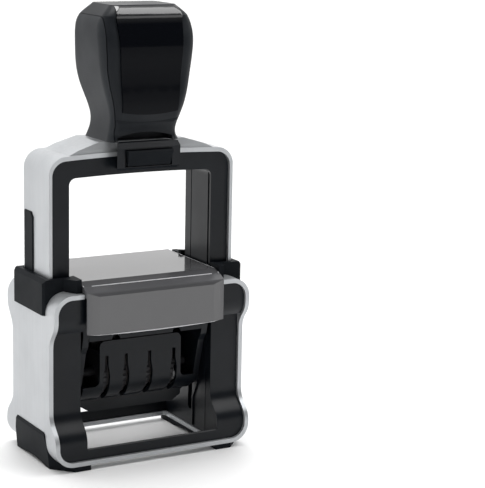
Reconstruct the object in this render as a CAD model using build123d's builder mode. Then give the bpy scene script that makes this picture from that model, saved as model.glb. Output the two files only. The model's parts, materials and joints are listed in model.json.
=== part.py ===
from build123d import *
import os
from math import cos, pi, sin

# Self-inking rotary date stamp. Millimetres, +Z up, +X to the right, the user's side is -Y.
# Origin: middle of the footprint, on the paper. Modelled at rest: bow up, printing face up
# against the ink pad. Pressing the bow down turns the printing face over onto the paper.

# ---- driving dimensions ----
TRAVEL = 30.0                 # how far the bow is pressed down
PLATE_SIZE = (41.0, 24.0)     # text plate, width and depth
FACE_REACH = 10.0             # turning axis to printing face
PIVOT_Z = TRAVEL + FACE_REACH + 0.1   # turning axis at rest, so the face ends on the paper
RUN_GAP = 0.3                 # gap between sliding bodies

# lower frame: a bent sheet-metal band, hourglass-shaped from the side
FRAME_X = 33.2                # half width
FRAME_BOTTOM, FRAME_TOP = 1.6, 54.4
FRAME_SHEET = 1.35
FRAME_CORNER = 6.0
FOOT_DEPTH, WAIST_DEPTH, SHOULDER_DEPTH = 18.9, 13.9, 17.9   # half depths
FOOT_CURVE = (8.0, 18.0)      # heights where the foot flare ends and the waist begins
SHOULDER_CURVE = (37.5, 47.0)
WINDOW_X, WINDOW_Y = 21.8, 16.4      # half size of the opening over the paper
LINER_X = 22.4                # half width of the front and rear openings
LINER_BACK = 10.0             # inner face of the front and rear liners
LINER_RECESS = 1.0
SILL_Z = 6.4
SILL_BACK = 17.0              # inner face of the sills
LINTEL_BACK = 15.8            # inner face of the front crossbar behind the hood
PAD_EDGE_Z = 42.3             # underside of the bulged shoulder pads
FLOOR_Z = FRAME_BOTTOM + FRAME_SHEET

# hood, ink cartridge
HOOD_X, HOOD_TOP, HOOD_FRONT, HOOD_SHEET = 23.2, 57.4, -19.8, 1.0
HOOD_SKIRT_Z = 42.0
RAIL_TOP = 53.5
TRAY_BOTTOM, TRAY_TOP, TRAY_X = 50.4, 55.4, 21.8

# bow: a bent band over a moulded liner, sliding in the frame
BOW_X, BOW_Y, BOW_SHEET = 31.1, 9.5, 1.0
BOW_TOP, BOW_BOTTOM = 95.3, 35.4
BOW_CORNER = 5.6
BOW_RIM = 1.35                # band edge that shows above the liner at the crossbar
BOW_LINER_Y = 8.3
OPENING_X, OPENING_TOP = 24.1, 88.25
RIB_Y = (2.0, 8.4)            # guide rib on the outside of each leg
RIB_X, RIB_TOP = 31.55, 76.5
ROD_X, ROD_Y = 27.1, 4.9      # guide rod inside each leg
BORE_TOP = 70.0

# grip: z, half width, front y, rear y, corner radius
GRIP_SECTIONS = [
    (98.2, 12.0, -10.8, 8.4, 2.6),
    (103.0, 11.2, -11.2, 6.8, 2.8),
    (107.5, 12.1, -13.3, 6.4, 3.2),
    (114.0, 13.9, -13.7, 8.7, 3.6),
    (122.0, 15.2, -13.8, 10.0, 4.0),
    (130.0, 15.8, -13.6, 9.2, 4.2),
    (135.8, 14.1, -12.3, 8.2, 3.4),
]
CAP_SECTIONS = [              # bevelled cap, from the crease at the top of the grip
    (135.8, 14.1, -12.3, 8.2, 3.4),
    (137.2, 12.7, -11.5, 7.2, 3.1),
    (138.2, 11.6, -10.5, 6.3, 2.7),
    (138.9, 10.8, -9.5, 5.6, 2.2),
]
SCREW_HEAD_TOP = 90.9
SADDLE_FRONT_X, SADDLE_REAR_X = 10.6, 8.9     # half widths
BUTTON_X = 7.6
BUTTON_TRAVEL = 1.2

# turning carriage and date wheels
CHEEK_X = (19.4, 21.4)
AXLE_Z = 25.0
AXLE_R = 1.5
DISC_R = 7.35
DRUM_R = 4.8
SHIELD_R = 8.65
SHIELD_WALL = 1.0
SHIELD_TOP = 36.7
DISC_X = (-11.6, -5.0, 3.1, 11.6)    # thumb discs of month, day tens, day units, year
DISC_T = 1.4
CAM_PIN_REACH = 6.0
PIN_R = 1.1
CAM_X = (22.3, 23.8)          # thickness of the cam plates

PARTS = "parts"
os.makedirs(PARTS, exist_ok=True)


def save(piece, label):
    """Label a finished piece and write it under its node name."""
    piece.part.label = label
    export_step(piece.part, f"{PARTS}/{label}.step")


def save_pair(right, label):
    """Write a right-hand piece and its mirror image."""
    save(right, f"{label}_right")
    with BuildPart() as left:
        mirror(right.part, about=Plane.YZ)
    save(left, f"{label}_left")


# ---- shared outlines ----
def frame_outline(inset):
    """Front outline of the lower frame, filled."""
    height = FRAME_TOP - FRAME_BOTTOM
    with BuildSketch(Plane.XZ) as face:
        with Locations((0, FRAME_BOTTOM + height / 2)):
            RectangleRounded(2 * (FRAME_X - inset), height - 2 * inset, FRAME_CORNER - inset)
    return face.sketch


def side_outline(inset):
    """Side outline of the lower frame: wide foot, narrow waist, wide shoulders."""
    foot, waist, shoulder = (d - inset for d in (FOOT_DEPTH, WAIST_DEPTH, SHOULDER_DEPTH))
    bottom, top = -1.0, 61.0
    with BuildSketch(Plane.YZ) as face:
        with BuildLine():
            Line((0, bottom), (foot, bottom))
            Line((foot, bottom), (foot, FOOT_CURVE[0]))
            Spline((foot, FOOT_CURVE[0]), (waist, FOOT_CURVE[1]), tangents=((0, 1), (0, 1)))
            Line((waist, FOOT_CURVE[1]), (waist, SHOULDER_CURVE[0]))
            Spline((waist, SHOULDER_CURVE[0]), (shoulder, SHOULDER_CURVE[1]), tangents=((0, 1), (0, 1)))
            Line((shoulder, SHOULDER_CURVE[1]), (shoulder, top))
            Line((shoulder, top), (0, top))
            mirror(about=Plane.YZ)
        make_face()
    return face.sketch


def bow_outline(inset, top_inset):
    """Front outline of the bow, filled down to the ends of its legs."""
    x, top = BOW_X - inset, BOW_TOP - top_inset
    shoulder = top - 0.9
    with BuildSketch(Plane.XZ) as face:
        with BuildLine():
            Line((-x, BOW_BOTTOM), (x, BOW_BOTTOM))
            Line((x, BOW_BOTTOM), (x, shoulder))
            ThreePointArc((x, shoulder), (0, top), (-x, shoulder))
            Line((-x, shoulder), (-x, BOW_BOTTOM))
        make_face()
        fillet(face.vertices().group_by(Axis.Y)[-1], BOW_CORNER - inset)
    return face.sketch


# ---- lower frame ----
def frame_band():
    with BuildPart() as band:
        extrude(frame_outline(0), amount=25, both=True)
        extrude(frame_outline(FRAME_SHEET), amount=26, both=True, mode=Mode.SUBTRACT)
        extrude(side_outline(0), amount=FRAME_X + 5, both=True, mode=Mode.INTERSECT)
        with BuildSketch(Plane.XY.offset(FRAME_TOP - 8)) as top_cuts:
            Rectangle(46.8, 60)
            Rectangle(64.2, 2 * LINER_BACK + 0.4)
        extrude(amount=20, mode=Mode.SUBTRACT)
        with BuildSketch(Plane.XY) as paper_window:
            RectangleRounded(2 * WINDOW_X, 2 * WINDOW_Y, 1.0)
        extrude(amount=5, mode=Mode.SUBTRACT)
    return band


def frame_liner(front):
    """Moulded insert behind the front or rear rim of the band."""
    side = -1 if front else 1
    top = FRAME_TOP - FRAME_SHEET
    with BuildPart() as liner:
        with BuildSketch(Plane.XZ) as face:
            add(frame_outline(FRAME_SHEET))
            with Locations((0, SILL_Z)):
                Rectangle(2 * LINER_X, 60, align=(Align.CENTER, Align.MIN), mode=Mode.SUBTRACT)
            if front:
                with Locations((0, 46.6)):
                    Rectangle(2 * LINER_X + 1, top - 46.6, align=(Align.CENTER, Align.MIN))
        extrude(amount=25, both=True)
        extrude(side_outline(LINER_RECESS), amount=FRAME_X + 5, both=True, mode=Mode.INTERSECT)
        with Locations((0, -side * 20, 30)):
            Box(80, 2 * (20 + LINER_BACK), 70, mode=Mode.SUBTRACT)
        Box(2 * LINER_X, 2 * SILL_BACK, 80, mode=Mode.SUBTRACT)
        with Locations((0, 0, 30)):
            Box(2 * LINER_X, 2 * LINTEL_BACK, 70, mode=Mode.SUBTRACT)
        # the column steps back under each shoulder pad
        step = WAIST_DEPTH - LINER_RECESS
        with Locations(*[(s * (LINER_X + 4.6), side * (step + 5), PAD_EDGE_Z - 2.6) for s in (-1, 1)]):
            Box(10.6, 10, 5.2, mode=Mode.SUBTRACT)
        sill = liner.edges().filter_by(Axis.X).sort_by(Axis.Z)
        sill_top = [e for e in sill if abs(e.center().Z - SILL_Z) < 0.01 and abs(e.center().Y) > 15]
        chamfer(sill_top, 0.3)
    return liner


def cam_track():
    """Path of the cam pin seen from the side, from rest to fully pressed."""
    steps = 12
    points = []
    for i in range(steps + 1):
        turn = pi * i / steps
        axis_z = PIVOT_Z - TRAVEL * i / steps
        points.append((CAM_PIN_REACH * sin(turn), axis_z - CAM_PIN_REACH * cos(turn)))
    return points


def cam_plate():
    """Inner side wall: a through slot for the pivot pin and a groove that turns the carriage."""
    with BuildPart() as plate:
        with BuildSketch(Plane.YZ.offset(CAM_X[0])) as wall:
            with Locations((0, FLOOR_Z)):
                Rectangle(2 * LINER_BACK, 49.2 - FLOOR_Z, align=(Align.CENTER, Align.MIN))
            slot_low, slot_high = PIVOT_Z - TRAVEL - 0.5, PIVOT_Z
            with Locations((0, (slot_low + slot_high) / 2)):
                SlotCenterToCenter(slot_high - slot_low, 2 * (PIN_R + 0.25), rotation=90, mode=Mode.SUBTRACT)
        extrude(amount=CAM_X[1] - CAM_X[0])
        with BuildSketch(Plane.YZ.offset(CAM_X[0])) as groove:
            with BuildLine() as path:
                Spline(cam_track())
            trace(path.line, line_width=2.4)
            for end in (cam_track()[0], cam_track()[-1]):
                with Locations(end):
                    Circle(1.2)
        extrude(amount=1.0, mode=Mode.SUBTRACT)
        # stiffening rib in front of the slot
        with BuildSketch(Plane.YZ.offset(CAM_X[0])) as rib:
            with BuildLine() as ridge:
                Polyline((-7.4, 37.0), (-5.2, 25.0), (-5.2, 19.0), (-2.2, 13.0), (-2.2, FLOOR_Z + 0.5))
            trace(ridge.line, line_width=0.7)
        extrude(amount=-0.5)
    return plate


def collar():
    """Guide collar round a bow leg: sits on the frame's shoulder and hangs over its side."""
    outer_x, top, skirt = 34.0, 58.3, 47.5
    wall_y, ear_y = BOW_Y + 1.8, 15.8
    with BuildPart() as guide:
        with BuildSketch(Plane.XZ) as face:
            with BuildLine():
                Polyline((23.4, skirt), (23.4, top + 0.3), (26.0, top), (32.9, top), (outer_x, top - 1.1),
                         (outer_x, skirt), (23.4, skirt))
            make_face()
        extrude(amount=ear_y, both=True)
        extrude(frame_outline(0), amount=30, both=True, mode=Mode.SUBTRACT)
        with BuildSketch(Plane.XY.offset(skirt - 1)) as plan:
            with BuildLine():
                half = [(23.0, ear_y), (25.0, ear_y), (27.4, wall_y), (33.3, wall_y), (outer_x, wall_y - 0.7)]
                outline = half + [(x, -y) for x, y in reversed(half)]
                Polyline(*outline, outline[0])
            make_face()
        extrude(amount=20, mode=Mode.INTERSECT)
        with BuildSketch(Plane.XY.offset(skirt - 1)) as passage:
            with Locations(((BOW_X + RUN_GAP + 20) / 2, 0)):
                Rectangle(BOW_X + RUN_GAP - 20, 2 * (BOW_Y + RUN_GAP))
            with Locations((RIB_X / 2 + 15, sum(RIB_Y) / 2)):
                Rectangle(RIB_X - 30 + 2 * RUN_GAP, RIB_Y[1] - RIB_Y[0] + 2 * RUN_GAP)
        extrude(amount=20, mode=Mode.SUBTRACT)
        # the rear ear is lower than the front one
        with Locations((30, wall_y, 57.7)):
            Box(20, 10, 5, align=(Align.CENTER, Align.MIN, Align.MIN), mode=Mode.SUBTRACT)
    return guide


def foot():
    """Clip-on foot under one side of the frame, wrapped up its outer face."""
    outer_x, top, toe_y = 33.6, 11.0, FOOT_DEPTH - 0.1
    with BuildPart() as clip:
        with BuildSketch(Plane.XZ) as face:
            with BuildLine():
                Polyline((21.6, 0), (32.5, 0), (outer_x, top - 1.0), (outer_x - 0.2, top), (21.6, top),
                         (21.6, 0))
            make_face()
        extrude(amount=toe_y, both=True)
        extrude(frame_outline(0), amount=30, both=True, mode=Mode.SUBTRACT)
        with Locations((0, 0, 30 + FRAME_BOTTOM)):
            Box(54, 60, 60, mode=Mode.SUBTRACT)
        # the side patch widens towards the ground, then runs in to the narrow toes
        with BuildSketch(Plane.YZ.offset(20)) as patch:
            with BuildLine():
                half = [(10.1, top), (10.6, top - 0.5), (12.4, 5.6), (toe_y, 2.6), (toe_y, -1)]
                outline = half + [(-y, z) for y, z in reversed(half)]
                Polyline(*outline, outline[0])
            make_face()
        extrude(amount=20, mode=Mode.INTERSECT)
        with BuildSketch(Plane.XY) as plan:
            with BuildLine():
                half = [(21, toe_y), (26.8, toe_y), (32.6, 12.4), (34, 11.6)]
                outline = half + [(x, -y) for x, y in reversed(half)]
                Polyline(*outline, outline[0])
            make_face()
        extrude(amount=20, mode=Mode.INTERSECT)
        with BuildSketch(Plane.YZ.offset(20)) as arch:
            with BuildLine():
                ThreePointArc((-9.5, 0), (0, 0.9), (9.5, 0))
                Polyline((9.5, 0), (9.5, -1), (-9.5, -1), (-9.5, 0))
            make_face()
        extrude(amount=20, mode=Mode.SUBTRACT)
    return clip


def hood_line(inset):
    """Side outline of the hood, open at the back."""
    front, top = HOOD_FRONT + inset, HOOD_TOP - inset
    return [(18.0, top), (-13.2 + inset / 4, top), (-16.3 + inset / 2, top - 1.0),
            (-19.2 + inset, top - 2.3), (front, top - 3.6), (front, HOOD_SKIRT_Z)]


def hood():
    """Smoked cover over the ink pad: top, front flap and low side rims."""
    with BuildPart() as cover:
        with BuildSketch(Plane.YZ) as face:
            with BuildLine():
                Polyline(*hood_line(0), *reversed(hood_line(HOOD_SHEET)), hood_line(0)[0])
            make_face()
        extrude(amount=HOOD_X, both=True)
        with BuildSketch(Plane.YZ) as rim:
            with BuildLine():
                Polyline((18.0, RAIL_TOP), (18.0, 57.0), (-11.0, 57.0), (-16.0, 55.8), (-18.8, 54.2),
                         (-18.8, RAIL_TOP), (18.0, RAIL_TOP))
            make_face()
        extrude(amount=HOOD_X, both=True)
        with BuildSketch(Plane.YZ) as inside:
            with BuildLine():
                Polyline(*hood_line(HOOD_SHEET), (18.0, HOOD_SKIRT_Z), hood_line(HOOD_SHEET)[0])
            make_face()
        extrude(amount=HOOD_X - 1.0, both=True, mode=Mode.SUBTRACT)
        # the lower edge of the flap is very slightly bowed
        with BuildSketch(Plane.XZ.offset(15)) as edge:
            with BuildLine():
                ThreePointArc((-24, HOOD_SKIRT_Z + 0.4), (0, HOOD_SKIRT_Z - 0.4), (24, HOOD_SKIRT_Z + 0.4))
                Polyline((24, HOOD_SKIRT_Z + 0.4), (24, 40), (-24, 40), (-24, HOOD_SKIRT_Z + 0.4))
            make_face()
        extrude(amount=8, mode=Mode.SUBTRACT)
        # the flap runs back slightly towards both sides
        with BuildSketch(Plane.XY.offset(40)) as plan:
            with BuildLine():
                half = [(HOOD_X, 20), (HOOD_X, HOOD_FRONT + 0.6), (19.4, HOOD_FRONT)]
                outline = half + [(-x, y) for x, y in reversed(half)]
                Polyline(*outline, outline[0])
            make_face()
        extrude(amount=20, mode=Mode.INTERSECT)
    return cover


def pad_rail():
    """Rail that the ink cartridge slides on, above the cam plate."""
    with BuildPart() as rail:
        with Locations((22.9, 0, (RAIL_TOP + 49.2) / 2)):
            Box(1.8, 2 * LINER_BACK - 0.2, RAIL_TOP - 49.2)
        with Locations((21.6, 0, 49.8)):
            Box(1.2, 31.0, 0.8)
    return rail


def guide_rod():
    with BuildPart() as rod:
        with Locations((ROD_X, ROD_Y, FLOOR_Z)):
            Cylinder(0.9, 38.0 - FLOOR_Z, align=(Align.CENTER, Align.CENTER, Align.MIN))
            Cylinder(1.9, 0.6, align=(Align.CENTER, Align.CENTER, Align.MIN))
        extrude(frame_outline(FRAME_SHEET), amount=20, both=True, mode=Mode.INTERSECT)
    return rod


def return_spring():
    """Compression spring round the guide rod, from its base to the end of the leg's bore."""
    start = FLOOR_Z + 0.9
    length = BORE_TOP - 0.4 - start
    with BuildPart() as coil:
        with BuildLine(Plane.XY.offset(start).move(Location((ROD_X, ROD_Y, 0)))) as path:
            Helix(pitch=length / 16, height=length, radius=1.5)
        with BuildSketch(Plane(path.line @ 0, z_dir=path.line % 0)) as wire:
            Circle(0.3)
        sweep(is_frenet=True)
    return coil


# ---- ink cartridge ----
def ink_tray():
    """Tray that holds the pad face down, with a finger flange that closes the rear of the hood."""
    height = TRAY_TOP - TRAY_BOTTOM
    with BuildPart() as tray:
        with Locations((0, 1.3, TRAY_BOTTOM)):
            Box(2 * TRAY_X, 31.4, height, align=(Align.CENTER, Align.CENTER, Align.MIN))
        with Locations((0, 0, TRAY_BOTTOM)):
            Box(2 * TRAY_X - 1.8, 27.4, height - 0.9, align=(Align.CENTER, Align.CENTER, Align.MIN),
                mode=Mode.SUBTRACT)
        with Locations((0, 17.5, 44.6)):
            Box(2 * TRAY_X, 1.8, TRAY_TOP - 44.6, align=(Align.CENTER, Align.CENTER, Align.MIN))
        with Locations((0, 18.4, 47.4)):
            Box(26, 1.4, 1.6)
        top_edges = tray.faces().sort_by(Axis.Z)[-1].edges()
        fillet(top_edges, 0.4)
    return tray


def ink_pad():
    with BuildPart() as pad:
        with Locations((0, 0, TRAY_BOTTOM)):
            Box(41.6, 27.2, TRAY_TOP - TRAY_BOTTOM - 0.95, align=(Align.CENTER, Align.CENTER, Align.MIN))
        fillet(pad.edges().filter_by(Axis.Z), 1.0)
    return pad


# ---- bow ----
def bow_band():
    with BuildPart() as band:
        extrude(bow_outline(0, 0), amount=BOW_Y, both=True)
        extrude(bow_outline(BOW_SHEET, BOW_RIM), amount=BOW_Y + 1, both=True, mode=Mode.SUBTRACT)
        with Locations((0, 0, BOW_TOP)):
            Cylinder(1.7, 10, mode=Mode.SUBTRACT)
    return band


def bow_liner():
    """Moulded inner bow: crossbar and two legs, bored for the return springs."""
    corner_z = OPENING_TOP - 0.5
    with BuildPart() as liner:
        extrude(bow_outline(BOW_SHEET, BOW_RIM), amount=BOW_LINER_Y, both=True)
        with BuildSketch(Plane.XZ) as opening:
            with BuildLine():
                Line((-OPENING_X, 30), (OPENING_X, 30))
                Line((OPENING_X, 30), (OPENING_X, corner_z))
                ThreePointArc((OPENING_X, corner_z), (0, OPENING_TOP), (-OPENING_X, corner_z))
                Line((-OPENING_X, corner_z), (-OPENING_X, 30))
            make_face()
            fillet(opening.vertices().group_by(Axis.Y)[-1], 2.2)
        extrude(amount=20, both=True, mode=Mode.SUBTRACT)
        with BuildSketch(Plane.XY.offset(BOW_BOTTOM)) as bores:
            with Locations((-ROD_X, ROD_Y), (ROD_X, ROD_Y)):
                Circle(2.1)
        extrude(amount=BORE_TOP - BOW_BOTTOM, mode=Mode.SUBTRACT)
        with BuildSketch(Plane.YZ) as pin_hole:
            with Locations((0, PIVOT_Z)):
                Circle(PIN_R)
        extrude(amount=29.0, both=True, mode=Mode.SUBTRACT)
        # shallow grooves down the inner faces of the legs
        for side in (-1, 1):
            for y, width in ((-6.9, 0.9), (4.4, 0.45)):
                with Locations((side * OPENING_X, y, 61)):
                    Box(0.8, width, 51, mode=Mode.SUBTRACT)
        with Locations((0, 0, OPENING_TOP)):
            Cylinder(3.5, 2 * (SCREW_HEAD_TOP - OPENING_TOP), mode=Mode.SUBTRACT)
            Cylinder(1.7, 20, mode=Mode.SUBTRACT)
    return liner


def bow_crown():
    """Raised metal crown on the crossbar, under the grip."""
    with BuildPart() as crown:
        with BuildSketch(Plane.XY.offset(94.2)) as base:
            Rectangle(51, 17.8)
        with BuildSketch(Plane.XY.offset(96.1)) as crease:
            Rectangle(42.5, 17.3)
        with BuildSketch(Plane.XY.offset(98.2)) as top:
            Rectangle(28.6, 16.4)
        loft(ruled=True)
        extrude(bow_outline(0, 0), amount=20, both=True, mode=Mode.SUBTRACT)
        with Locations((0, 0, BOW_TOP)):
            Cylinder(1.7, 10, mode=Mode.SUBTRACT)
    return crown


def guide_rib():
    with BuildPart() as rib:
        with BuildSketch(Plane.YZ.offset(BOW_X)) as face:
            with BuildLine():
                Polyline((RIB_Y[0], 40), (RIB_Y[0], RIB_TOP - 1.6), (RIB_Y[0] + 1.4, RIB_TOP),
                         (RIB_Y[1], RIB_TOP), (RIB_Y[1], 40), (RIB_Y[0], 40))
            make_face()
        extrude(amount=RIB_X - BOW_X)
        chamfer(rib.faces().sort_by(Axis.X)[-1].edges(), 0.3)
    return rib


def grip_solid(front_extra, rear_extra):
    """The grip's outer form, with its front and rear faces moved out by the given amounts."""
    with BuildPart() as form:
        for sections in (GRIP_SECTIONS, CAP_SECTIONS):
            outlines = []
            for z, half, front, rear, radius in sections:
                front_y, rear_y = front - front_extra, rear + rear_extra
                with BuildSketch(Plane.XY.offset(z)) as outline:
                    with Locations((0, (front_y + rear_y) / 2)):
                        RectangleRounded(2 * half, rear_y - front_y, radius)
                outlines.append(outline.sketch)
            loft(outlines)
    return form.part


SEAM = [(14.1, 136.2), (14.1, 127.0), (13.6, 120.0), (12.6, 114.0), (11.2, 108.0), (10.0, 103.0),
        (10.0, 97.0)]


def seam_mask(side, gap):
    """Region outside the seam line, in front view."""
    with BuildPart() as mask:
        with BuildSketch(Plane.XZ) as face:
            with BuildLine():
                points = [(side * (x + gap), z) for x, z in SEAM]
                Polyline(*points, (side * 20, 97.0), (side * 20, 136.2), points[0])
            make_face()
        extrude(amount=30, both=True)
    return mask.part


def grip_core():
    with BuildPart() as core:
        add(grip_solid(0, 0))
        for side in (-1, 1):
            add(seam_mask(side, 0), mode=Mode.SUBTRACT)
        # the neck steps back under the lip below the front inlay
        with BuildSketch(Plane.XZ.offset(11.6)) as neck:
            with BuildLine():
                ThreePointArc((-10.6, 105.2), (0, 104.2), (10.6, 105.2))
                Polyline((10.6, 105.2), (10.6, 98.0), (-10.6, 98.0), (-10.6, 105.2))
            make_face()
        extrude(amount=8, mode=Mode.SUBTRACT)
        # dark recess between the neck and the saddle
        with BuildSketch(Plane.XZ.offset(6.0)) as recess:
            with BuildLine():
                ThreePointArc((-9.2, 99.4), (0, 100.9), (9.2, 99.4))
                Polyline((9.2, 99.4), (9.2, 98.0), (-9.2, 98.0), (-9.2, 99.4))
            make_face()
        extrude(amount=8, mode=Mode.SUBTRACT)
        with Locations((0, 0, 98.2)):
            Cylinder(1.6, 30, mode=Mode.SUBTRACT)
    return core


def grip_side():
    """Soft side pad of the grip."""
    with BuildPart() as pad:
        add(grip_solid(0, 0))
        add(seam_mask(1, 0.22), mode=Mode.INTERSECT)
    return pad


def panel_mask(low, high, half_low, half_high, sag):
    """Front-view outline of a grip panel, with a bowed lower edge."""
    with BuildSketch(Plane.XZ) as face:
        with BuildLine():
            ThreePointArc((-half_low, low), (0, low - sag), (half_low, low))
            Polyline((half_low, low), (half_high, high - 3), (half_high - 0.6, high),
                     (-half_high + 0.6, high), (-half_high, high - 3), (-half_low, low))
        make_face()
    return face.sketch


def grip_panel(front):
    """Glossy inlay on the front or the rear of the grip."""
    side = -1 if front else 1
    with BuildPart() as panel:
        add(grip_solid(0.55 if front else 0, 0 if front else 0.45))
        add(grip_solid(0, 0), mode=Mode.SUBTRACT)
        if front:
            extrude(panel_mask(107.4, 138.6, 9.2, 10.9, 0.9), amount=40, both=True, mode=Mode.INTERSECT)
        else:
            extrude(panel_mask(110.0, 138.0, 7.4, 10.0, 0.6), amount=40, both=True, mode=Mode.INTERSECT)
        with Locations((0, -side * 20, 120)):
            Box(60, 44, 60, mode=Mode.SUBTRACT)
    return panel


def saddle(front):
    """Moulded saddle that closes the crossbar under the neck and carries the lock button."""
    side = -1 if front else 1
    half = SADDLE_FRONT_X if front else SADDLE_REAR_X
    with BuildPart() as block:
        with BuildSketch(Plane.YZ) as face:
            with BuildLine():
                outline = [(12.2, 89.9), (12.9, 90.6), (13.1, 96.6), (12.2, 98.2), (BOW_Y + 0.1, 98.2),
                           (BOW_Y + 0.1, 93.9), (BOW_LINER_Y, 93.9), (BOW_LINER_Y, 89.9)]
                points = [(side * y, z) for y, z in outline]
                Polyline(*points, points[0])
            make_face()
        extrude(amount=half, both=True)
        with BuildSketch(Plane.XY.offset(85)) as plan:
            with BuildLine():
                Polyline((-8.4, side * 8), (-8.4, side * 9.3), (-half, side * 13), (-half, side * 15),
                         (half, side * 15), (half, side * 13), (8.4, side * 9.3), (8.4, side * 8),
                         (-8.4, side * 8))
            make_face()
        extrude(amount=20, mode=Mode.INTERSECT)
        with Locations((0, side * 14, 93.5)):
            Box(2 * (BUTTON_X + RUN_GAP), 6.0, 5.3, mode=Mode.SUBTRACT)
        with Locations((0, side * 10, 93.5)):
            Box(2.4, 4, 2.4, mode=Mode.SUBTRACT)
    return block


def lock_button(front):
    """Button that holds the bow down for changing the pad; leans back towards its lower edge."""
    side = -1 if front else 1
    with BuildPart() as button:
        with BuildSketch(Plane.YZ) as face:
            with BuildLine():
                outline = [(12.45, 91.15), (13.2, 91.15), (14.6, 95.5), (14.3, 95.85), (12.45, 95.85)]
                points = [(side * y, z) for y, z in outline]
                Polyline(*points, points[0])
            make_face()
        extrude(amount=BUTTON_X, both=True)
        with BuildSketch(Plane.XZ) as front_view:
            with Locations((0, 93.5)):
                Trapezoid(2 * BUTTON_X, 4.7, 84.5, rotation=180)
        extrude(amount=20, both=True, mode=Mode.INTERSECT)
        with Locations((0, side * 11.75, 93.5)):
            Box(1.9, 1.6, 1.9)
    return button


def pivot_pin():
    with BuildPart() as pin:
        with BuildSketch(Plane.YZ.offset(CHEEK_X[0])) as face:
            with Locations((0, PIVOT_Z)):
                Circle(PIN_R)
        extrude(amount=29.0 - CHEEK_X[0])
    return pin


def grip_screw():
    with BuildPart() as screw:
        with Locations((0, 0, SCREW_HEAD_TOP)):
            Cylinder(3.2, 1.9, align=(Align.CENTER, Align.CENTER, Align.MAX))
            Cylinder(1.6, 21.0, align=(Align.CENTER, Align.CENTER, Align.MIN))
        with Locations((0, 0, SCREW_HEAD_TOP - 1.9)):
            Box(4.6, 0.9, 1.4, mode=Mode.SUBTRACT)
            Box(0.9, 4.6, 1.4, mode=Mode.SUBTRACT)
    return screw


# ---- turning carriage ----
def cheek():
    """Side plate of the carriage, from the plate holder down to the wheel axle."""
    with BuildPart() as side:
        with BuildSketch(Plane.YZ.offset(CHEEK_X[0])) as face:
            with BuildLine():
                outline = [(12.6, 46.3), (12.6, 39.6), (11.7, 36.2), (10.2, 34.0), (7.0, 22.6)]
                Polyline(*outline)
                ThreePointArc((7.0, 22.6), (0, AXLE_Z - 8.0), (-7.0, 22.6))
                Polyline(*[(-y, z) for y, z in reversed(outline)])
                Line((-12.6, 46.3), (12.6, 46.3))
            make_face()
            with Locations((0, PIVOT_Z)):
                Circle(PIN_R + 0.04, mode=Mode.SUBTRACT)
            with Locations((0, AXLE_Z)):
                Circle(AXLE_R, mode=Mode.SUBTRACT)
        extrude(amount=CHEEK_X[1] - CHEEK_X[0])
    return side


def cam_pin():
    """Pin on the cheek that runs in the cam groove."""
    with BuildPart() as pin:
        with BuildSketch(Plane.YZ.offset(CHEEK_X[1])) as face:
            with Locations((0, PIVOT_Z - CAM_PIN_REACH)):
                Circle(0.9)
        extrude(amount=1.6)
    return pin


def plate_holder():
    """Tray under the text plate, with a skirt that covers the gap above the date shield."""
    skirt_z = SHIELD_TOP + 1.5
    with BuildPart() as holder:
        with BuildSketch(Plane.XY.offset(46.3)) as plan:
            RectangleRounded(2 * CHEEK_X[1], 25.2, 0.8)
            Rectangle(24.4, 5.6, mode=Mode.SUBTRACT)
        extrude(amount=2.0)
        with BuildSketch(Plane.XZ.offset(11.6)) as skirt:
            with Locations((0, skirt_z)):
                Rectangle(2 * CHEEK_X[0], 46.3 - skirt_z, align=(Align.CENTER, Align.MIN))
            with Locations((-10.4, skirt_z), (10.4, skirt_z)):
                Circle(1.4, mode=Mode.SUBTRACT)
        extrude(amount=1.0)
    return holder


def text_plate():
    """Rubber text plate with generic relief: a border, a heading bar and a dashed signing line."""
    base_z, relief_z, top_z = 48.3, 49.3, PIVOT_Z + FACE_REACH
    with BuildPart() as plate:
        with BuildSketch(Plane.XY.offset(base_z)) as plan:
            RectangleRounded(*PLATE_SIZE, 0.6)
            Rectangle(24.4, 5.6, mode=Mode.SUBTRACT)
        extrude(amount=relief_z - base_z)
        with BuildSketch(Plane.XY.offset(relief_z)) as relief:
            Rectangle(38.6, 21.0)
            Rectangle(37.4, 19.8, mode=Mode.SUBTRACT)
            with Locations((0, 6.4)):
                Rectangle(30, 2.6)
                Rectangle(28.4, 1.2, mode=Mode.SUBTRACT)
            with GridLocations(3.6, 1, 7, 1):
                with Locations((2, -6.6)):
                    Rectangle(2.4, 0.7)
        extrude(amount=top_z - relief_z)
    return plate


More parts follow.
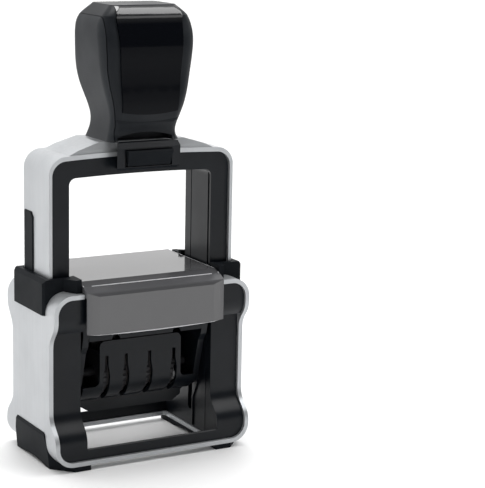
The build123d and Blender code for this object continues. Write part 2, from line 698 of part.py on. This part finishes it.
def date_shield():
    """Guard in front of the date wheels, slotted so that the thumb discs can be turned."""
    inner = SHIELD_R - SHIELD_WALL
    with BuildPart() as shield:
        with BuildSketch(Plane.YZ) as wall:
            with BuildLine():
                Polyline((0, AXLE_Z - inner), (0, AXLE_Z - SHIELD_R))
                RadiusArc((0, AXLE_Z - SHIELD_R), (-SHIELD_R, AXLE_Z), SHIELD_R)
                Polyline((-SHIELD_R, AXLE_Z), (-SHIELD_R, SHIELD_TOP), (-inner, SHIELD_TOP), (-inner, AXLE_Z))
                RadiusArc((-inner, AXLE_Z), (0, AXLE_Z - inner), -inner)
            make_face()
        extrude(amount=CHEEK_X[0], both=True)
        with BuildSketch(Plane.XZ) as front_view:
            with Locations((0, 14)):
                Rectangle(28, SHIELD_TOP - 14, align=(Align.CENTER, Align.MIN))
                Rectangle(2 * CHEEK_X[0], 8.4, align=(Align.CENTER, Align.MIN))
            corners = front_view.vertices().filter_by(lambda v: abs(abs(v.X) - 14) < 0.01)
            fillet(corners, 1.8)
        extrude(amount=20, both=True, mode=Mode.INTERSECT)
        with BuildSketch(Plane.XZ.offset(2.4)) as slots:
            for x in DISC_X:
                with BuildLine():
                    Polyline((x - 0.55, 32), (x + 0.55, 32), (x + 0.55, 29), (x + 1.1, 26), (x + 1.1, 15),
                             (x - 1.1, 15), (x - 1.1, 26), (x - 0.55, 29), (x - 0.55, 32))
                make_face()
        extrude(amount=10, mode=Mode.SUBTRACT)
    return shield


def wheel_cover():
    """Rear wall of the wheel housing and the bar that closes it underneath."""
    bar_z, inner = 12.7, SHIELD_R - SHIELD_WALL
    with BuildPart() as cover:
        with BuildSketch(Plane.YZ) as wall:
            with BuildLine():
                Polyline((-2.2, 18.0), (-2.2, bar_z), (4.6, bar_z), (SHIELD_R, 17.0), (SHIELD_R, 46.3),
                         (inner, 46.3), (inner, 18.0), (-2.2, 18.0))
            make_face()
            with Locations((0, AXLE_Z)):
                Circle(inner, mode=Mode.SUBTRACT)
        extrude(amount=CHEEK_X[0], both=True)
        with BuildSketch(Plane.YZ) as front_half:
            with Locations((0, AXLE_Z)):
                Circle(SHIELD_R)
            with Locations((SHIELD_R / 2, AXLE_Z)):
                Rectangle(SHIELD_R, 2 * SHIELD_R, mode=Mode.SUBTRACT)
        extrude(amount=CHEEK_X[0], both=True, mode=Mode.SUBTRACT)
        with BuildSketch(Plane.XZ) as front_view:
            with BuildLine():
                Polyline((-14.4, bar_z), (14.4, bar_z), (17.4, 14.6), (17.4, 16.0), (CHEEK_X[0], 17.4),
                         (CHEEK_X[0], 46.3), (-CHEEK_X[0], 46.3), (-CHEEK_X[0], 17.4), (-17.4, 16.0),
                         (-17.4, 14.6), (-14.4, bar_z))
            make_face()
        extrude(amount=20, both=True, mode=Mode.INTERSECT)
    return cover


def wheel_axle():
    with BuildPart() as axle:
        with BuildSketch(Plane.YZ) as face:
            with Locations((0, AXLE_Z)):
                Circle(AXLE_R)
        extrude(amount=CHEEK_X[1], both=True)
    return axle


def band_anvil():
    """Bar that backs the date bands at the printing face."""
    with BuildPart() as anvil:
        with Locations((0, 0, 45.0)):
            Box(2 * CHEEK_X[0], 2.2, 2.4)
        with Locations((0, 0, 47.2)):
            Box(22.4, 2.2, 2.4)
    return anvil


# band name: x range of the band, side on which its thumb disc sits, digits at the printing face
BANDS = {
    "month": ((-10.7, -6.2), -1, "12"),
    "day_tens": ((-4.1, -0.9), -1, "2"),
    "day_units": ((-0.5, 2.2), 1, "4"),
    "year": ((4.3, 10.7), 1, "31"),
}
SEGMENTS = {"0": "abcdef", "1": "bc", "2": "abged", "3": "abgcd", "4": "fgbc"}
SEGMENT_BOXES = {   # centre x, centre y, width, height in a cell 1.5 wide and 3.0 high
    "a": (0, 1.3, 1.5, 0.4), "g": (0, 0, 1.5, 0.4), "d": (0, -1.3, 1.5, 0.4),
    "f": (-0.55, 0.7, 0.4, 1.6), "b": (0.55, 0.7, 0.4, 1.6),
    "e": (-0.55, -0.7, 0.4, 1.6), "c": (0.55, -0.7, 0.4, 1.6),
}


def date_band(name):
    """Rubber band from its wheel up over the anvil, with plain digits at the printing face."""
    (x0, x1), _, digits = BANDS[name]
    top = PIVOT_Z + FACE_REACH - 0.6
    with BuildPart() as band:
        with BuildSketch(Plane.YZ.offset(x0)) as loop:
            with Locations((0, AXLE_Z)):
                Circle(5.8)
            with Locations((0, top - 1.0)):
                Rectangle(4.2, 2.0)
            make_hull()
        extrude(amount=x1 - x0)
        with BuildSketch(Plane.YZ.offset(x0)) as hollow:
            with Locations((0, AXLE_Z)):
                Circle(5.0)
            with Locations((0, top - 1.8)):
                Rectangle(2.6, 2.0)
            make_hull()
        extrude(amount=x1 - x0, mode=Mode.SUBTRACT)
        middle = (x0 + x1) / 2
        with BuildSketch(Plane.XY.offset(top)) as relief:
            for i, digit in enumerate(digits):
                cell_x = middle - (i - (len(digits) - 1) / 2) * 2.1
                for segment in SEGMENTS[digit]:
                    x, y, width, height = SEGMENT_BOXES[segment]
                    with Locations((cell_x - x, y)):
                        Rectangle(width, height)
        extrude(amount=0.6)
    return band


def date_wheel(index, name):
    """Setting wheel: a toothed thumb disc and the drum that drives its band."""
    (x0, x1), side, _ = BANDS[name]
    disc_x = DISC_X[index]
    drum_end = x1 if side < 0 else x0
    teeth = 26
    with BuildPart() as wheel:
        with BuildSketch(Plane.YZ.offset(disc_x - DISC_T / 2)) as disc:
            with Locations((0, AXLE_Z)):
                Circle(DISC_R)
                with PolarLocations(DISC_R + 0.15, teeth):
                    Circle(0.5, mode=Mode.SUBTRACT)
        extrude(amount=DISC_T)
        with BuildSketch(Plane.YZ.offset(disc_x)) as drum:
            with Locations((0, AXLE_Z)):
                Circle(DRUM_R)
        extrude(amount=drum_end - disc_x)
        with BuildSketch(Plane.YZ) as bore:
            with Locations((0, AXLE_Z)):
                Circle(AXLE_R + 0.03)
        extrude(amount=30, both=True, mode=Mode.SUBTRACT)
    return wheel


def main():
    save(frame_band(), "frame_band")
    save(frame_liner(True), "frame_liner_front")
    save(frame_liner(False), "frame_liner_rear")
    save_pair(cam_plate(), "cam_plate")
    save_pair(collar(), "collar")
    save_pair(foot(), "foot")
    save(hood(), "hood")
    save_pair(pad_rail(), "pad_rail")
    save_pair(guide_rod(), "guide_rod")
    save_pair(return_spring(), "return_spring")

    save(ink_tray(), "ink_tray")
    save(ink_pad(), "ink_pad")

    save(bow_band(), "bow_band")
    save(bow_liner(), "bow_liner")
    save(bow_crown(), "bow_crown")
    save_pair(guide_rib(), "guide_rib")
    save(grip_core(), "grip_core")
    save_pair(grip_side(), "grip_side")
    save(grip_panel(True), "grip_panel_front")
    save(grip_panel(False), "grip_panel_rear")
    save(saddle(True), "saddle_front")
    save(saddle(False), "saddle_rear")
    save(lock_button(True), "lock_button_front")
    save(lock_button(False), "lock_button_rear")
    save_pair(pivot_pin(), "pivot_pin")
    save(grip_screw(), "grip_screw")

    save_pair(cheek(), "cheek")
    save_pair(cam_pin(), "cam_pin")
    save(plate_holder(), "plate_holder")
    save(text_plate(), "text_plate")
    save(date_shield(), "date_shield")
    save(wheel_cover(), "wheel_cover")
    save(wheel_axle(), "wheel_axle")
    save(band_anvil(), "band_anvil")
    for index, name in enumerate(BANDS):
        save(date_band(name), f"date_band_{name}")
        save(date_wheel(index, name), f"date_wheel_{name}")


main()
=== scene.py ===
import bpy
import json
from math import cos, pi, radians, sin
from mathutils import Matrix, Vector


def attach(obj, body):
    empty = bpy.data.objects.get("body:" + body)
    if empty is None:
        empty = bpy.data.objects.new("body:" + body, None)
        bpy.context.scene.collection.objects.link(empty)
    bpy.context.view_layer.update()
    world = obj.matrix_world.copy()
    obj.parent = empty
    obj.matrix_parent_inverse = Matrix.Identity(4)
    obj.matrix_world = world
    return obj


# Self-inking rotary date stamp: finishes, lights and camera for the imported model. Metres.

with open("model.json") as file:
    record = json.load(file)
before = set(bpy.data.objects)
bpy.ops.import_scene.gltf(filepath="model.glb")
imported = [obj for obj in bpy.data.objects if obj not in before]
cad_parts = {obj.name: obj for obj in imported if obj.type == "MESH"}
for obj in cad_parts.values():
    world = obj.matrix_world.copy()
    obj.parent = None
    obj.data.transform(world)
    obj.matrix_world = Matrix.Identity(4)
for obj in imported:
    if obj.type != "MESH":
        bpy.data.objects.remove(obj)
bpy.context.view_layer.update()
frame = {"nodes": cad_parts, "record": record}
scene = bpy.context.scene
MM = 0.001


# ---- materials ----
def material(name, color, rough, metallic=0.0, **sockets):
    """A principled material with plain values; returns it with its shader and its node tree."""
    mat = bpy.data.materials.new(name)
    mat.use_nodes = True
    tree = mat.node_tree
    shader = tree.nodes["Principled BSDF"]
    shader.inputs["Base Color"].default_value = (*color, 1)
    shader.inputs["Roughness"].default_value = rough
    shader.inputs["Metallic"].default_value = metallic
    for socket, value in sockets.items():
        shader.inputs[socket.replace("_", " ")].default_value = value
    return mat, shader, tree


def noise(tree, scale, detail=3.0, stretch=(1, 1, 1)):
    """Noise in object space; scale is in waves per metre."""
    coords = tree.nodes.new("ShaderNodeTexCoord")
    mapping = tree.nodes.new("ShaderNodeMapping")
    mapping.inputs["Scale"].default_value = stretch
    texture = tree.nodes.new("ShaderNodeTexNoise")
    texture.inputs["Scale"].default_value = scale
    texture.inputs["Detail"].default_value = detail
    tree.links.new(coords.outputs["Object"], mapping.inputs["Vector"])
    tree.links.new(mapping.outputs["Vector"], texture.inputs["Vector"])
    return texture.outputs["Fac"]


def spread(tree, value, low, high, start=0.3, end=0.7):
    """Map a 0 to 1 value onto a range."""
    node = tree.nodes.new("ShaderNodeMapRange")
    node.inputs["From Min"].default_value = start
    node.inputs["From Max"].default_value = end
    node.inputs["To Min"].default_value = low
    node.inputs["To Max"].default_value = high
    tree.links.new(value, node.inputs["Value"])
    return node.outputs["Result"]


def bump(tree, shader, value, strength, distance):
    node = tree.nodes.new("ShaderNodeBump")
    node.inputs["Strength"].default_value = strength
    node.inputs["Distance"].default_value = distance
    tree.links.new(value, node.inputs["Height"])
    tree.links.new(node.outputs["Normal"], shader.inputs["Normal"])


def tint(tree, shader, value, dark, light):
    """Base colour that wanders between two colours."""
    ramp = tree.nodes.new("ShaderNodeValToRGB")
    ramp.color_ramp.elements[0].position = 0.35
    ramp.color_ramp.elements[0].color = (*dark, 1)
    ramp.color_ramp.elements[1].position = 0.65
    ramp.color_ramp.elements[1].color = (*light, 1)
    tree.links.new(value, ramp.inputs["Fac"])
    tree.links.new(ramp.outputs["Color"], shader.inputs["Base Color"])


def satin_metal():
    """Silver lacquered sheet metal with a very fine vertical grain."""
    mat, shader, tree = material("satin_metal", (0.48, 0.495, 0.51), 0.36, 0.6)
    grain = noise(tree, 900, 4, (1, 1, 0.05))
    tint(tree, shader, noise(tree, 60), (0.46, 0.475, 0.49), (0.51, 0.525, 0.54))
    tree.links.new(spread(tree, grain, 0.3, 0.44), shader.inputs["Roughness"])
    bump(tree, shader, grain, 0.05, 0.0001)
    return mat


def moulded(name, dark, light, rough, gloss=0.3, grain_scale=2600, depth=0.12):
    """Moulded plastic with a fine spark-eroded texture."""
    mat, shader, tree = material(name, light, rough, Specular_IOR_Level=gloss)
    tint(tree, shader, noise(tree, 120), dark, light)
    fine = noise(tree, grain_scale, 2)
    tree.links.new(spread(tree, noise(tree, 90), rough - 0.05, rough + 0.05), shader.inputs["Roughness"])
    bump(tree, shader, fine, depth, 0.00008)
    return mat


def gloss_black():
    """Glossy inlay, most polished where it curves over at the top of the grip."""
    mat, shader, tree = material("gloss_black", (0.002, 0.0025, 0.004), 0.1, Specular_IOR_Level=0.1)
    height = tree.nodes.new("ShaderNodeSeparateXYZ")
    coords = tree.nodes.new("ShaderNodeTexCoord")
    tree.links.new(coords.outputs["Object"], height.inputs["Vector"])
    polish = spread(tree, height.outputs["Z"], 0.08, 1.0, 0.1335, 0.1355)
    tree.links.new(polish, shader.inputs["Specular IOR Level"])
    tree.links.new(spread(tree, noise(tree, 150), 0.07, 0.13), shader.inputs["Roughness"])
    bump(tree, shader, noise(tree, 260, 1), 0.03, 0.0001)
    return mat


def ramp(tree, value, stops):
    """Colour or strength in steps along a value, as (position, grey) pairs."""
    node = tree.nodes.new("ShaderNodeValToRGB")
    elements = node.color_ramp.elements
    while len(elements) < len(stops):
        elements.new(0.5)
    for element, (position, grey) in zip(elements, stops):
        element.position = position
        element.color = (grey, grey, grey * 1.05, 1)
    tree.links.new(value, node.inputs["Fac"])
    return node.outputs["Color"]


def smoked():
    """Smoked hood with painted shade and light in its base colour: the tone steps along the front, darkest on
    the flap, with a painted lighter strip just below the front crease and a painted darker band just behind
    it standing in for the dark gap in front of the ink pad seen through the plastic.
    """
    mat, shader, tree = material("smoked_plastic", (0.07, 0.07, 0.075), 0.1, Specular_IOR_Level=0.9)
    coords = tree.nodes.new("ShaderNodeTexCoord")
    axes = tree.nodes.new("ShaderNodeSeparateXYZ")
    tree.links.new(coords.outputs["Object"], axes.inputs["Vector"])
    along = spread(tree, axes.outputs["Y"], 0.0, 1.0, -0.020, -0.010)
    # painted shade and light: grey steps along the hood's front, one tone per facet, stand in for how each
    # facet is lit
    shade = ramp(tree, along, [(0.0, 0.066), (0.05, 0.066), (0.08, 0.105), (0.36, 0.105), (0.38, 0.085),
                               (0.66, 0.07), (0.72, 0.075)])
    gloss = ramp(tree, along, [(0.0, 0.9), (0.05, 0.9), (0.08, 0.4), (0.36, 0.4), (0.38, 0.06),
                               (0.66, 0.06), (0.70, 0.95)])
    clouds = spread(tree, noise(tree, 40), 0.94, 1.06)
    clouded_painted_shade = tree.nodes.new("ShaderNodeVectorMath")
    clouded_painted_shade.operation = "SCALE"
    tree.links.new(shade, clouded_painted_shade.inputs["Vector"])
    tree.links.new(clouds, clouded_painted_shade.inputs["Scale"])
    tree.links.new(clouded_painted_shade.outputs["Vector"], shader.inputs["Base Color"])
    tree.links.new(gloss, shader.inputs["Specular IOR Level"])
    tree.links.new(spread(tree, noise(tree, 80), 0.1, 0.16), shader.inputs["Roughness"])
    return mat


def steel():
    mat, shader, tree = material("steel", (0.6, 0.6, 0.6), 0.28, 1.0)
    grain = noise(tree, 1500, 3, (0.05, 1, 1))
    tree.links.new(spread(tree, grain, 0.2, 0.36), shader.inputs["Roughness"])
    bump(tree, shader, grain, 0.06, 0.0001)
    return mat


def felt():
    mat, shader, tree = material("ink_felt", (0.01, 0.01, 0.03), 0.6, Sheen_Weight=0.3)
    fibres = noise(tree, 3000, 6)
    tint(tree, shader, fibres, (0.004, 0.004, 0.012), (0.02, 0.02, 0.05))
    bump(tree, shader, fibres, 0.5, 0.0002)
    return mat


FINISHES = {
    "satin_metal": satin_metal(),
    "black_plastic": moulded("black_plastic", (0.003, 0.0045, 0.007), (0.0055, 0.0072, 0.01), 0.34, 0.24),
    "soft_grip": moulded("soft_grip", (0.018, 0.0205, 0.024), (0.024, 0.027, 0.031), 0.5, 0.2, 3200, 0.25),
    "gloss_black": gloss_black(),
    "smoked_plastic": smoked(),
    "steel": steel(),
    "wheel_plastic": moulded("wheel_plastic", (0.02, 0.02, 0.022), (0.03, 0.03, 0.033), 0.4),
    "stamp_rubber": moulded("stamp_rubber", (0.1, 0.09, 0.09), (0.13, 0.12, 0.12), 0.7, 0.3, 1800, 0.3),
    "ink_felt": felt(),
}

SLOTS = {part["node"]: part["material_slot"] for part in frame["record"]["subparts"]}

# these nodes are made of the same black plastic with a duller surface
DULL = moulded("dull_plastic", (0.009, 0.0105, 0.0125), (0.012, 0.014, 0.0165), 0.42, 0.03)
CORE = moulded("grip_core", (0.011, 0.013, 0.016), (0.015, 0.017, 0.02), 0.38, 0.12)
NODE_FINISHES = {
    "collar_left": DULL,
    "collar_right": DULL,
    "foot_left": DULL,
    "foot_right": DULL,
    "guide_rib_left": DULL,
    "guide_rib_right": DULL,
    "lock_button_front": DULL,
    "lock_button_rear": DULL,
    "grip_core": CORE,
}

for node, obj in frame["nodes"].items():
    obj.data.materials.clear()
    obj.data.materials.append(NODE_FINISHES.get(node, FINISHES[SLOTS[node]]))


# ---- rounded edges ----
def soften(obj, width):
    """Round a node's sharp edges a little so that they catch the light; the width is in millimetres."""
    modifier = obj.modifiers.new("edges", "BEVEL")
    modifier.width = width * MM
    modifier.segments = 2
    modifier.limit_method = "ANGLE"
    modifier.angle_limit = radians(35)
    modifier.harden_normals = False


EDGE_WIDTHS = {
    0.2: ("frame_band", "bow_band", "cheek_left", "cheek_right", "plate_holder", "ink_tray"),
    0.3: ("frame_liner_front", "frame_liner_rear", "bow_liner", "date_shield", "wheel_cover", "hood",
          "grip_panel_front", "grip_panel_rear"),
    0.45: ("collar_left", "collar_right", "foot_left", "foot_right", "lock_button_front", "lock_button_rear"),
    0.6: ("saddle_front", "saddle_rear"),
}
for width, nodes in EDGE_WIDTHS.items():
    for node in nodes:
        soften(frame["nodes"][node], width)


# ---- painted highlights along the hood's edges: pale beads, the only pieces that aren't nodes of the part ----
def painted_edge_highlight():
    """Pale grey colour painted as the highlights along the hood's edges."""
    mat, shader, tree = material("painted_edge_highlight", (0.66, 0.66, 0.68), 0.18)
    tint(tree, shader, noise(tree, 200), (0.6, 0.6, 0.62), (0.72, 0.72, 0.74))
    return mat


HOOD_HIGHLIGHT = painted_edge_highlight()


def bead(name, path, radius):
    """Round pale bead painted as a highlight, along a line of points in millimetres, as one mesh that rides
    on the frame.
    """
    points = [Vector(p) * MM for p in path]
    sides = 8
    verts, faces = [], []
    for i, point in enumerate(points):
        ahead = (points[min(i + 1, len(points) - 1)] - points[max(i - 1, 0)]).normalized()
        across = ahead.cross(Vector((0.31, 0.17, 0.93))).normalized()
        up = across.cross(ahead)
        for k in range(sides):
            turn = 2 * pi * k / sides
            verts.append(point + (across * cos(turn) + up * sin(turn)) * radius * MM)
    for i in range(len(points) - 1):
        for k in range(sides):
            a, b = i * sides + k, i * sides + (k + 1) % sides
            faces.append((a, b, b + sides, a + sides))
    faces.append(tuple(range(sides - 1, -1, -1)))
    faces.append(tuple(range(len(verts) - sides, len(verts))))
    mesh = bpy.data.meshes.new(name)
    mesh.from_pydata(verts, [], faces)
    mesh.shade_smooth()
    obj = bpy.data.objects.new(name, mesh)
    scene.collection.objects.link(obj)
    mesh.materials.append(HOOD_HIGHLIGHT)
    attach(obj, "frame")


CREASE_Y = -16.3            # where the hood's front slope steepens
SLOPE_Y = -12.9             # just behind the line where the slope starts
BACK_Y = 17.7               # the back end of the hood's top
EDGE_X = 22.95              # just inside the hood's sides
EDGE_Z = 57.2               # just under its top
EDGE_R = 0.23               # radius of the beads along the sides
# pale beads painted as highlights on the front crease, the sides, the front corners and the bottom hem of the
# hood
bead("hood_crease_highlight", [(-20.4, CREASE_Y, 56.34), (0, CREASE_Y, 56.34), (20.4, CREASE_Y, 56.34)], 0.2)
for side, name in ((1, "right"), (-1, "left")):
    x = side * EDGE_X
    bead(f"hood_edge_highlight_{name}", [(x, BACK_Y, EDGE_Z), (x, SLOPE_Y, EDGE_Z)], EDGE_R)
    bead(f"hood_corner_highlight_{name}", [(x, SLOPE_Y, EDGE_Z), (x, CREASE_Y, EDGE_Z - 1.0)], EDGE_R)
hem_half = [(0, -19.55, 41.75), (10, -19.55, 41.85), (19.4, -19.55, 42.15), (22.6, -19.0, 42.45)]
hem_left = [(-x, y, z) for x, y, z in hem_half[:0:-1]]
bead("hood_hem_highlight", hem_left + hem_half, 0.22)


# ---- stage, lights and camera ----
def floor():
    bpy.ops.mesh.primitive_plane_add(size=12, location=(0, 0, 0))
    plane = bpy.context.object
    plane.name = "floor"
    mat, shader, tree = material("floor", (0.9, 0.9, 0.9), 0.55)
    tint(tree, shader, noise(tree, 3), (0.88, 0.88, 0.88), (0.91, 0.91, 0.91))
    plane.data.materials.append(mat)


def soft_light(name, place, target, size, power):
    data = bpy.data.lights.new(name, "AREA")
    data.shape = "RECTANGLE"
    data.size, data.size_y = size
    data.energy = power
    lamp = bpy.data.objects.new(name, data)
    lamp.location = place
    lamp.rotation_euler = (Vector(target) - Vector(place)).to_track_quat("-Z", "Y").to_euler()
    scene.collection.objects.link(lamp)


def camera():
    """View from the front left, a little above the hood."""
    azimuth, elevation, roll = radians(-30.25), radians(11.63), radians(1.17)
    target = Vector((40.74, 0.0, 60.95)) * MM
    back = Vector((sin(azimuth) * cos(elevation), -cos(azimuth) * cos(elevation), sin(elevation)))
    right = Vector((cos(azimuth), sin(azimuth), 0))
    up = right.cross(-back)
    data = bpy.data.cameras.new("camera")
    data.lens = 128.0
    data.clip_start, data.clip_end = 0.01, 50
    view = bpy.data.objects.new("camera", data)
    tilted_right = right * cos(roll) + up * sin(roll)
    tilted_up = up * cos(roll) - right * sin(roll)
    turn = Matrix((tilted_right, tilted_up, back)).transposed()
    view.matrix_world = Matrix.Translation(target + back * 0.5594) @ turn.to_4x4()
    scene.collection.objects.link(view)
    scene.camera = view


def sun(elevation, azimuth, strength, angle):
    """Broad, even light over the whole floor."""
    data = bpy.data.lights.new("sun", "SUN")
    data.energy, data.angle = strength, radians(angle)
    lamp = bpy.data.objects.new("sun", data)
    lamp.rotation_euler = (radians(90 - elevation), 0, radians(azimuth))
    scene.collection.objects.link(lamp)


def surroundings(front, back):
    """White surroundings, dimmer on the user's side."""
    world = bpy.data.worlds.new("world")
    world.use_nodes = True
    tree = world.node_tree
    coords = tree.nodes.new("ShaderNodeTexCoord")
    axes = tree.nodes.new("ShaderNodeSeparateXYZ")
    tree.links.new(coords.outputs["Generated"], axes.inputs["Vector"])
    strength = spread(tree, axes.outputs["Y"], front, back, -0.7, 0.5)
    tree.nodes["Background"].inputs["Color"].default_value = (1, 1, 1, 1)
    tree.links.new(strength, tree.nodes["Background"].inputs["Strength"])
    scene.world = world


scene.view_settings.view_transform = "Standard"
floor()
surroundings(front=0.2, back=1.2)
sun(elevation=80, azimuth=180, strength=1.6, angle=34)
soft_light("key", place=(0.27, -0.15, 0.53), target=(0, 0, 0.12), size=(0.3, 0.4), power=1.2)
camera()
